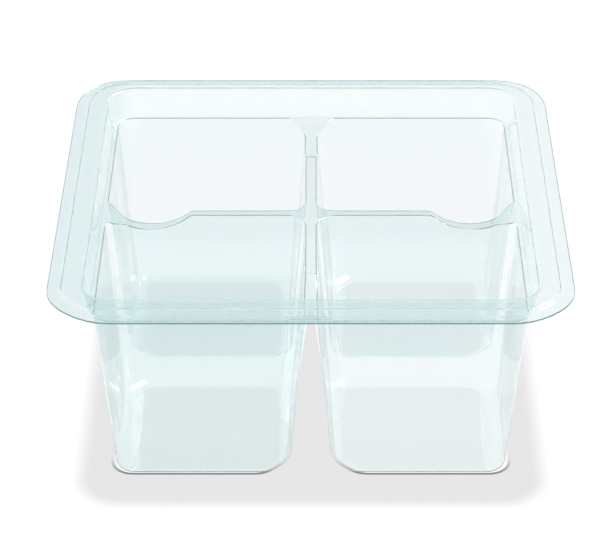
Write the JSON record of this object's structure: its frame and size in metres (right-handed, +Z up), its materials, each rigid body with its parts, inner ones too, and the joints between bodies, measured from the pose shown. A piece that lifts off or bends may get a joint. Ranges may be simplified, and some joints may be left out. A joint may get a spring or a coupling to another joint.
{
  "type": "compartment tray",
  "caption": "Clear thermoformed square tray with deep drafted cells, scooped dividers set below the rim and a stepped flange, open at the top.",
  "frame": {"origin": "on the ground under the middle of the tray, level with the undersides of the cell floors", "axes": "+Z up, +X to the right, front towards -Y; the two dividers run along X and along Y"},
  "size_m": [0.17, 0.17, 0.075],
  "materials": {
    "clear_rim": "clear glossy plastic sheet with a faint cyan tint, trimmed edge darker",
    "clear_deck": "clear glossy plastic sheet with a faint cyan tint",
    "clear_cell": "clear glossy plastic sheet with a faint cyan tint and faint waves from forming"
  },
  "bodies": {
    "root": {"rim_flange": "clear_rim", "recess_wall": "clear_rim", "divider_deck": "clear_deck", "front_left_cell": "clear_cell", "front_right_cell": "clear_cell", "rear_left_cell": "clear_cell", "rear_right_cell": "clear_cell"}
  },
  "joints": []
}
